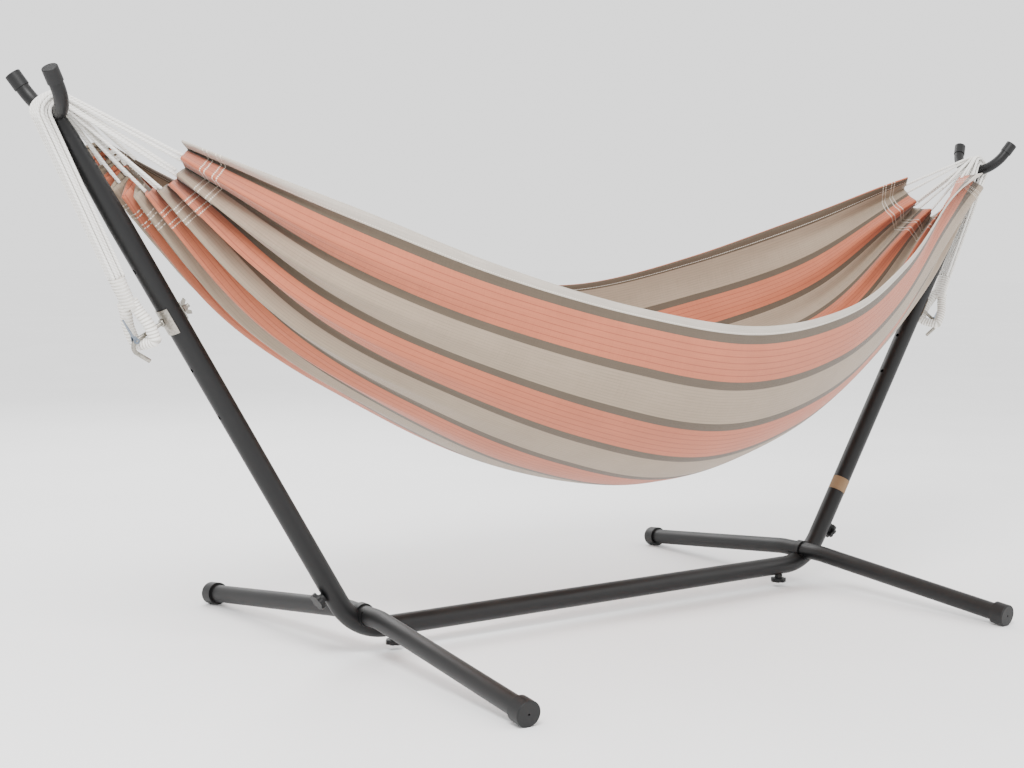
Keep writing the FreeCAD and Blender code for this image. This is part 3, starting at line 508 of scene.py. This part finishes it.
def cloth_finish():
    """Plain weave in dyed yarn: coral with dark pinstripes, taupe bars, beige, pale hem."""
    finish = Finish("striped_cotton", Sheen_Weight=0.25, Sheen_Roughness=0.5)
    place = finish.own_map("flat")
    across, along, _ = finish.parts(place)
    coral, dark_coral = tint(190, 108, 76), tint(150, 72, 52)
    taupe, beige, pale = tint(90, 77, 62), tint(160, 143, 123), tint(196, 188, 177)
    within = (across - HEM_WIDTH - BAR) % REPEAT
    bands = [(0.0, coral), (STRIPE / REPEAT, taupe), ((STRIPE + BAR) / REPEAT, beige),
             ((2 * STRIPE + BAR) / REPEAT, taupe)]
    colour = finish.ramp(bands, within / REPEAT, "CONSTANT")
    line = abs((within - PIN_MARGIN) % PIN_PITCH - PIN_PITCH / 2) < PIN_WIDTH / 2
    lines = line * (within > PIN_MARGIN) * (within < STRIPE - PIN_MARGIN)
    colour = finish.mix(lines * 0.8, colour, dark_coral)
    beige_line = (abs((within - PIN_MARGIN / 2) % FAINT_PITCH - FAINT_PITCH / 2)
                  < FAINT_WIDTH / 2)
    beige_lines = beige_line * (within > STRIPE + BAR) * (within < 2 * STRIPE + BAR) * 0.16
    colour = finish.mix(beige_lines, colour, taupe)
    first_bar = (across < HEM_WIDTH + BAR) * (across > HEM_WIDTH)
    colour = finish.mix(first_bar, colour, taupe)
    colour = finish.mix(across < HEM_WIDTH, colour, pale)
    warp = finish.noise(place, 1.0, 4.0, (900, 14, 1))
    weft = finish.noise(place, 1.0, 4.0, (14, 700, 1))
    fade = finish.noise(place, 7.0, 3.0)
    heather = warp * 0.5 + weft * 0.35 + fade * 0.3
    stops = [(0.3, tint(196, 190, 184)), (0.75, tint(255, 255, 255))]
    yarn = finish.ramp(stops, heather)
    colour = finish.mix(0.8, colour, yarn, "MULTIPLY")
    from_end = CLOTH_LENGTH / 2 - abs(along - CLOTH_LENGTH / 2)
    row = abs(abs(abs(from_end - SEAM_MIDDLE) - SEAM_PAIR) - SEAM_GAP) < SEAM_WIDTH / 2
    dash = (across % SEAM_DASH) < SEAM_STITCH
    seam_place = CLOTH_WIDTH / 2 - HEM_WIDTH + HEM_SEAM_IN
    edge_seam = abs(abs(across - CLOTH_WIDTH / 2) - seam_place) < HEM_SEAM_WIDTH / 2
    edge_dash = (along % HEM_DASH) < HEM_STITCH
    stitches = (row * dash + edge_seam * edge_dash).math("MINIMUM", 1.0)
    colour = finish.mix(stitches * 0.85, colour, tint(226, 220, 206))
    threads = ((across * (2 * math.pi / WEAVE_WARP)).sine()
               * (along * (2 * math.pi / WEAVE_WEFT)).sine())
    height = threads * 0.3 + warp * 0.5 + weft * 0.4 + stitches * 1.2
    bump = finish.relief(height, 0.6, WEAVE_BUMP)
    return finish.feed(Base_Color=colour, Roughness=heather * 0.15 + 0.76, Normal=bump)


shape = bmesh.new()
flat_map = shape.loops.layers.uv.new("flat")
bmesh.ops.create_grid(shape, x_segments=ACROSS_STEPS, y_segments=ALONG_STEPS, size=1)
for face in shape.faces:
    for corner in face.loops:
        place = corner.vert.co
        corner[flat_map].uv = ((place.x + 1) / 2 * CLOTH_WIDTH,
                               (crowd_ends(place.y) + 1) / 2 * CLOTH_LENGTH)
shape.verts.index_update()
end_edges = {-1: [], 1: []}
doubled_verts = []
for vertex in shape.verts:
    across, along = (vertex.co.x + 1) / 2, crowd_ends(vertex.co.y)
    if abs(vertex.co.y) > NEAR_END:
        end_edges[round(vertex.co.y)].append(vertex)
    in_hem = min(across, 1 - across) * CLOTH_WIDTH < HEM_WIDTH
    in_casing = (1 - abs(along)) / 2 * CLOTH_LENGTH < CASING
    if in_hem or in_casing:
        doubled_verts.append(vertex.index)
    vertex.co = cloth_place(max(min(along, 1), -1), min(max(across, 0), 1))
sewn = {side: [vertex.co.copy() for vertex in edge] for side, edge in end_edges.items()}
bmesh.ops.recalc_face_normals(shape, faces=shape.faces)
cloth = new_piece("hammock_cloth", shape, cloth_finish())
hems = cloth.vertex_groups.new(name="hems")
hems.add(doubled_verts, 1.0, "REPLACE")
thickness = cloth.modifiers.new("thickness", "SOLIDIFY")
thickness.thickness = HEM_THICK
thickness.offset = 0
thickness.vertex_group = "hems"
thickness.thickness_vertex_group = CLOTH_THICK / HEM_THICK
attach(cloth, "hammock")
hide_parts("fabric_bed")


# ------------------------------------------------------------------ strings in place
# Each string from its place in the neck, over the fork, to the nearest fold of the cloth.
# It is attached to neither the stand nor the hammock. The stretch that hangs down to the neck lies
# inboard of the fork. Known fault: no part of a string swings with the cloth.

SPREAD, SEW_REACH = 0.8, 0.030


def sewn_place(side, row, column):
    """The point of the gathered edge nearest to where this string belongs."""
    middle, half, down = bed_axes(side)
    across = SPREAD * column * 2 / (max(STRAND_ROWS) - 1)
    drop = 0.5 + SPREAD * (0.5 - (row + 0.5) / len(STRAND_ROWS))
    wanted = middle + half * across + down * drop
    return wanted, min(sewn[side], key=lambda point: (point - wanted).length)


for word, side in SIDES.items():
    number = 0
    for row, count in enumerate(STRAND_ROWS):
        for index in range(count):
            number += 1
            column = index - (count - 1) / 2
            wanted, edge = sewn_place(side, row, column)
            pull = edge - wanted
            if pull.length > SEW_REACH:
                pull = pull.normalized() * SEW_REACH
            route = strand_route(side, row, column, wanted + pull)
            rings = stations(spline_line(route, CURVE_STEPS), RING_SPACING)
            strand = rolled(f"{word}_string_{number}", rings, AROUND, twisted, white_cord)
            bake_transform(strand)
            if number == 1:
                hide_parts(f"{word}_fork_strings", f"{word}_bed_strings")


# ------------------------------------------------------------------ rope loops
# Each bundle of strings is doubled back into a hanging loop, whipped all round with
# white cord, and bound at the neck, where the loop's two sides meet.

WHIP_PITCH = 0.0062
RIB, RIB_MEAN = 0.14, 0.6       # how far a turn of whipping stands out, as a share of the radius
LOOP_RING = 0.0012
LOOP_TURN = math.radians(32)    # the loops hang twisted this far about their pull
LOOP_AROUND, NECK_AROUND = 24, 40
NECK_LAP = 0.012                # the binding starts this far down the loop
NECK_CLEAR = 0.0015
NECK_WIDE, NECK_DEEP = 1.02, 1.04
LOOP_LOW, LOOP_PINCH = 0.35, 0.95


def whipping_finish():
    """Tight turns of cotton cord laid side by side, with painted shade in the grooves between the
    turns.
    """
    finish = Finish("whipped_cord", Sheen_Weight=0.3, Sheen_Roughness=0.6)
    turn, far, _ = finish.parts(finish.own_map("along"))
    # Painted shade: the colour darkens in the grooves between neighbouring turns of the whipping.
    whip_groove_shade = wave((far + turn * WHIP_PITCH) * (1 / WHIP_PITCH))
    yarn = wave(turn * 60 + far * 300)
    blotch = finish.noise(finish.spot(), 90.0, 4.0)
    shade = whip_groove_shade * 0.6 + yarn * 0.15 + blotch * 0.25
    stops = [(0.15, tint(176, 170, 160)), (0.4, tint(226, 222, 214)), (0.9, tint(246, 244, 239))]
    colour = finish.ramp(stops, shade)
    bump = finish.relief(yarn * 0.4 + blotch, 0.5, CORD_BUMP)
    return finish.feed(Base_Color=colour, Roughness=blotch * 0.12 + 0.78, Normal=bump)


whipped = whipping_finish()


def whipped_radius(base):
    def radius(turn, far):
        phase = 2 * math.pi * (far / WHIP_PITCH + turn / (2 * math.pi))
        return base * (1 + RIB * (abs(math.sin(phase / 2)) - RIB_MEAN))
    return radius


for word, side in SIDES.items():
    bottom, pull = pull_line(side)
    meet = LOOP_OD / 2
    third = pull.cross(Vector((0, 1, 0)))
    half_loop = []
    for end in (-1, 1):
        sideways = (Vector((0, math.cos(LOOP_TURN), 0)) + third * math.sin(LOOP_TURN)) * end
        half_loop.append([bottom + pull * EYE_LENGTH + sideways * meet,
                          bottom + pull * (EYE_LENGTH - LOOP_STRAIGHT) + sideways * meet,
                          bottom + pull * LOOP_HIP + sideways * LOOP_RADIUS,
                          bottom + pull * LOOP_RADIUS * LOOP_LOW + sideways * LOOP_RADIUS,
                          bottom + sideways * LOOP_RADIUS * LOOP_PINCH])
    route = half_loop[0] + half_loop[1][::-1]
    rings = stations(spline_line(route, CURVE_STEPS), LOOP_RING)
    loop = rolled(f"{word}_whipped_loop", rings, LOOP_AROUND, whipped_radius(LOOP_OD / 2), whipped)
    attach(loop, "stand")
    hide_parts(f"{word}_rope_loop")

    start = bottom + pull * (EYE_LENGTH - NECK_LAP)
    wide_low, deep_low = LOOP_OD * NECK_WIDE, LOOP_OD / 2 * NECK_DEEP
    wide_top = PITCH_NECK * max(STRAND_ROWS) / 2 + NECK_CLEAR
    deep_top = ((len(STRAND_ROWS) - 1) * ROW_PITCH + STRAND_OD) / 2 + NECK_CLEAR
    long = NECK_LENGTH + NECK_LAP
    count = int(long / LOOP_RING)
    rings = []
    for step in range(count + 1):
        share = step / count
        wide = wide_low + (wide_top - wide_low) * share
        deep = deep_low + (deep_top - deep_low) * share
        place = start + pull * long * share
        rings.append((place, Vector((0, wide, 0)), third * deep, long * share))
    neck = rolled(f"{word}_bound_neck", rings, NECK_AROUND, whipped_radius(1.0), whipped)
    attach(neck, "stand")
    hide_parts(f"{word}_rope_neck")


# ------------------------------------------------------------------ steel stand
# Bent and straight steel tube under one coat of dark grey powder paint, with a fine
# orange-peel surface, a little dust on top and dull rubbed places.

def paint_finish():
    finish = Finish("painted_steel", Coat_Roughness=0.35, Specular_IOR_Level=0.32)
    spot = finish.spot()
    peel = finish.noise(spot, 650.0, 2.0)
    cloud = finish.noise(spot, 9.0, 5.0)
    speck = finish.noise(spot, 1800.0, 2.0)
    facing = finish.node("ShaderNodeNewGeometry", {}, {}, "Normal")
    upper = finish.parts(facing)[2]
    dust = upper.math("MAXIMUM", 0.0) * cloud * 0.08
    stops = [(0.25, tint(9, 9, 10)), (0.75, tint(14, 14, 15))]
    colour = finish.ramp(stops, cloud * 0.7 + speck * 0.3)
    colour = finish.mix(dust, colour, tint(110, 106, 100))
    bump = finish.relief(peel, 0.35, 0.00025)
    return finish.feed(Base_Color=colour, Roughness=cloud * 0.16 + dust + 0.36, Normal=bump)


painted = paint_finish()


def repaint(finish, *names):
    for name in names:
        for place in nodes[name].material_slots:
            place.material = finish


repaint(painted, "beam")
for word in SIDES:
    for name in ("elbow", "upright", "fork", "front_leg", "back_leg", "leg_spigot",
                 "leg_saddle", "leg_strap"):
        repaint(painted, f"{word}_{name}")


# ------------------------------------------------------------------ caps, feet and knobs
# Injection-moulded black plastic with a fine spark-eroded grain, a little polished by
# hands and shoes.

def plastic_finish():
    finish = Finish("black_plastic", Specular_IOR_Level=0.4)
    spot = finish.spot()
    grain = finish.node("ShaderNodeTexVoronoi", {}, {"Vector": spot, "Scale": 900.0})
    cloud = finish.noise(spot, 30.0, 4.0)
    stops = [(0.3, tint(5, 5, 6)), (0.75, tint(9, 9, 10))]
    colour = finish.ramp(stops, cloud)
    bump = finish.relief(grain, 0.3, 0.0002)
    return finish.feed(Base_Color=colour, Roughness=cloud * 0.2 + 0.42, Normal=bump)


moulded = plastic_finish()
for word in SIDES:
    for name in ("front_foot", "back_foot", "front_fork_cap", "back_fork_cap",
                 "beam_knob", "upright_knob"):
        repaint(moulded, f"{word}_{name}")


# ------------------------------------------------------------------ hooks and fastenings
# Zinc-plated rolled rod, pressed plates and screws: a cool dull shine with the faint
# cloudy crystals of the plating. The latch tongue is passivated a bluer grey.

def zinc_finish(name, light, dark):
    finish = Finish(name)
    spot = finish.spot()
    crystal = finish.node("ShaderNodeTexVoronoi", {}, {"Vector": spot, "Scale": 260.0}, "Color")
    cloud = finish.noise(spot, 45.0, 5.0)
    scratch = finish.noise(spot, 140.0, 3.0, (1, 1, 9))
    grey = finish.node("ShaderNodeRGBToBW", {}, {"Color": crystal})
    shade = cloud * 0.6 + grey * 0.25 + scratch * 0.2
    colour = finish.ramp([(0.3, dark), (0.75, light)], shade)
    bump = finish.relief(scratch, 0.2, 0.0002)
    return finish.feed(Base_Color=colour, Roughness=cloud * 0.25 + 0.26,
                       Metallic=cloud * 0.1 + 0.88, Normal=bump)


zinc = zinc_finish("zinc_steel", tint(178, 173, 163), tint(112, 109, 103))
latch_zinc = zinc_finish("latch_zinc", tint(140, 150, 162), tint(84, 93, 106))
repaint(zinc, "weld_nuts")
for word in SIDES:
    for name in ("hook_bolt", "latch_pin", "outer_plate", "inner_washer", "wing_nut",
                 "beam_screw", "upright_screw"):
        repaint(zinc, f"{word}_{name}")
    repaint(latch_zinc, f"{word}_hook_latch")


# ------------------------------------------------------------------ paper sleeve
# A strip of unbleached kraft paper wrapped round the right upright. It carries no print.

def paper_finish():
    finish = Finish("kraft_paper")
    spot = finish.spot()
    fibre = finish.noise(spot, 220.0, 5.0, (1, 6, 6))
    cloud = finish.noise(spot, 18.0, 4.0)
    stops = [(0.3, tint(112, 88, 62)), (0.7, tint(146, 118, 88))]
    colour = finish.ramp(stops, fibre * 0.5 + cloud * 0.5)
    bump = finish.relief(fibre, 0.4, 0.0003)
    return finish.feed(Base_Color=colour, Roughness=cloud * 0.1 + 0.8, Normal=bump)


repaint(paper_finish(), "paper_band")


# ------------------------------------------------------------------ floor and lights
# A plain pale floor under large soft lamps and an even pale surround.

FLOOR_HALF, FLOOR_CELLS = 30.0, 8
SURROUND = 1.7
floor_shape = bmesh.new()
bmesh.ops.create_grid(floor_shape, x_segments=FLOOR_CELLS, y_segments=FLOOR_CELLS, size=FLOOR_HALF)
floor_finish = Finish("pale_floor")
floor_cloud = floor_finish.noise(floor_finish.spot(), 1.5, 3.0)
floor_stops = [(0.3, tint(250, 250, 250)), (0.7, tint(254, 254, 254))]
floor_colour = floor_finish.ramp(floor_stops, floor_cloud)
floor_finish.feed(Base_Color=floor_colour, Roughness=floor_cloud * 0.1 + 0.6)
floor = new_piece("floor", floor_shape, floor_finish.material)

world = bpy.data.worlds.new("surround")
world.use_nodes = True
surround = world.node_tree.nodes["Background"].inputs
surround["Color"].default_value = (1.0, 1.0, 1.0, 1.0)
surround["Strength"].default_value = SURROUND
bpy.context.scene.world = world


def lamp(name, place, aim, size, power):
    """Round soft lamp; place, aim and size in metres, power in watts."""
    light = bpy.data.lights.new(name, "AREA")
    light.shape = "DISK"
    light.size = size
    light.energy = power
    holder = bpy.data.objects.new(name, light)
    holder.location = place
    holder.rotation_euler = (Vector(aim) - Vector(place)).to_track_quat("-Z", "Y").to_euler()
    bpy.context.scene.collection.objects.link(holder)


lamp("key", (-2.4, -2.2, 3.6), (0, 0, 0.6), 1.6, 210)
lamp("fill", (3.2, -2.6, 2.4), (0, 0, 0.6), 3.0, 40)
lamp("rim", (0.5, 3.4, 3.0), (0, 0, 0.7), 2.6, 90)
